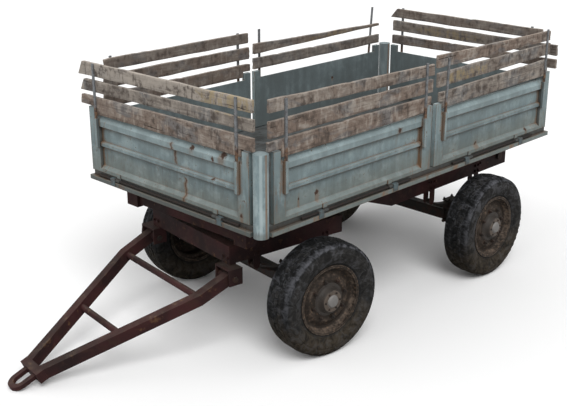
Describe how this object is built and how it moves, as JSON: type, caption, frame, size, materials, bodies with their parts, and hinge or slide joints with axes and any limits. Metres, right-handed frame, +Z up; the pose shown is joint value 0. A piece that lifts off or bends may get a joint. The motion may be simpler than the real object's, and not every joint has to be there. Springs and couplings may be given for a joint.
{
  "type": "four-wheel farm drawbar trailer with drop sides",
  "caption": "Farm drawbar trailer: steered front bogie on a turntable, A-shaped drawbar, open bed with drop sides, and weathered plank extensions on stakes.",
  "frame": {"origin": "on the ground at the middle of the whole trailer's box, drawbar included", "axes": "+X forward to the towing eye, +Y to the trailer's left, +Z up"},
  "size_m": [5.703, 2.4642, 2.415],
  "materials": {
    "bed_paint": "weathered blue-grey paint with rust at the edges",
    "rod_steel": "dark worn steel",
    "chassis_paint": "dull oxide red paint",
    "axle_steel": "dark brown greasy steel",
    "pin_steel": "dark steel",
    "stake_steel": "grey steel, rusty at the sockets",
    "plank_wood": "weathered bare planks",
    "tyre": "worn dusty rubber",
    "rim_paint": "rusty brown paint",
    "hub_steel": "greasy cast steel"
  },
  "bodies": {
    "chassis": {"bed_rail": "bed_paint", "floor": "bed_paint", "corner_posts": "bed_paint", "hinge_rods": "rod_steel", "rod_clips": "bed_paint", "chassis_frame": "chassis_paint", "floor_bearers": "chassis_paint", "tail_tube": "axle_steel", "upper_ring": "axle_steel", "kingpin": "pin_steel", "rear_axle": "axle_steel", "rear_springs": "axle_steel", "rear_spring_brackets": "chassis_paint"},
    "bogie": {"lower_ring": "axle_steel", "steering_frame": "chassis_paint", "clevis_forks": "chassis_paint", "clevis_pins": "pin_steel", "front_axle": "axle_steel", "front_springs": "axle_steel", "front_spring_brackets": "chassis_paint"},
    "drawbar": {"drawbar_arms": "chassis_paint", "drawbar_ties": "chassis_paint", "tow_eye": "chassis_paint"},
    "front_left_wheel": {"front_left_tyre": "tyre", "front_left_rim": "rim_paint", "front_left_hub": "hub_steel"},
    "front_right_wheel": {"front_right_tyre": "tyre", "front_right_rim": "rim_paint", "front_right_hub": "hub_steel"},
    "rear_left_wheel": {"rear_left_tyre": "tyre", "rear_left_rim": "rim_paint", "rear_left_hub": "hub_steel"},
    "rear_right_wheel": {"rear_right_tyre": "tyre", "rear_right_rim": "rim_paint", "rear_right_hub": "hub_steel"},
    "left_front_side": {"left_front_panel": "bed_paint", "left_front_stakes": "stake_steel", "left_front_planks": "plank_wood"},
    "left_rear_side": {"left_rear_panel": "bed_paint", "left_rear_stakes": "stake_steel", "left_rear_planks": "plank_wood"},
    "right_rear_side": {"right_rear_panel": "bed_paint", "right_rear_stakes": "stake_steel", "right_rear_planks": "plank_wood"},
    "right_front_side": {"right_front_panel": "bed_paint", "right_front_stakes": "stake_steel", "right_front_planks": "plank_wood"},
    "front_gate": {"front_panel": "bed_paint", "front_stakes": "stake_steel", "front_planks": "plank_wood"},
    "tail_gate": {"tail_panel": "bed_paint", "tail_stakes": "stake_steel", "tail_planks": "plank_wood"}
  },
  "joints": [
    {"name": "steering", "type": "hinge", "parent": "chassis", "child": "bogie", "pos_m": [0.41449, 0, 1.01], "axis": [0, 0, 1], "range_deg": [-37.5, 52.5]},
    {"name": "drawbar_lift", "type": "hinge", "parent": "bogie", "child": "drawbar", "pos_m": [1.09858, -0.09006, 0.745], "axis": [0.1305, 0.9914, 0], "range_deg": [-27, 0]},
    {"name": "front_left_roll", "type": "hinge", "parent": "bogie", "child": "front_left_wheel", "pos_m": [0.54893, 1.02119, 0.515], "axis": [0.1305, 0.9914, 0], "continuous": true},
    {"name": "front_right_roll", "type": "hinge", "parent": "bogie", "child": "front_right_wheel", "pos_m": [0.28005, -1.02119, 0.515], "axis": [0.1305, 0.9914, 0], "continuous": true},
    {"name": "rear_left_roll", "type": "hinge", "parent": "chassis", "child": "rear_left_wheel", "pos_m": [-1.88551, 1.03, 0.515], "axis": [0, 1, 0], "continuous": true},
    {"name": "rear_right_roll", "type": "hinge", "parent": "chassis", "child": "rear_right_wheel", "pos_m": [-1.88551, -1.03, 0.515], "axis": [0, 1, 0], "continuous": true},
    {"name": "left_front_side_drop", "type": "hinge", "parent": "chassis", "child": "left_front_side", "pos_m": [0.19549, 1.112, 1.347], "axis": [-1, 0, 0], "range_deg": [0, 150]},
    {"name": "left_rear_side_drop", "type": "hinge", "parent": "chassis", "child": "left_rear_side", "pos_m": [-1.84801, 1.112, 1.347], "axis": [-1, 0, 0], "range_deg": [0, 150]},
    {"name": "right_rear_side_drop", "type": "hinge", "parent": "chassis", "child": "right_rear_side", "pos_m": [-1.67401, -1.112, 1.347], "axis": [1, 0, 0], "range_deg": [0, 150]},
    {"name": "right_front_side_drop", "type": "hinge", "parent": "chassis", "child": "right_front_side", "pos_m": [0.29799, -1.112, 1.347], "axis": [1, 0, 0], "range_deg": [0, 150]},
    {"name": "front_gate_drop", "type": "hinge", "parent": "chassis", "child": "front_gate", "pos_m": [1.36149, -0.0725, 1.347], "axis": [0, 1, 0], "range_deg": [0, 100]},
    {"name": "tail_gate_drop", "type": "hinge", "parent": "chassis", "child": "tail_gate", "pos_m": [-2.83251, 0, 1.347], "axis": [0, -1, 0], "range_deg": [0, 150]}
  ]
}
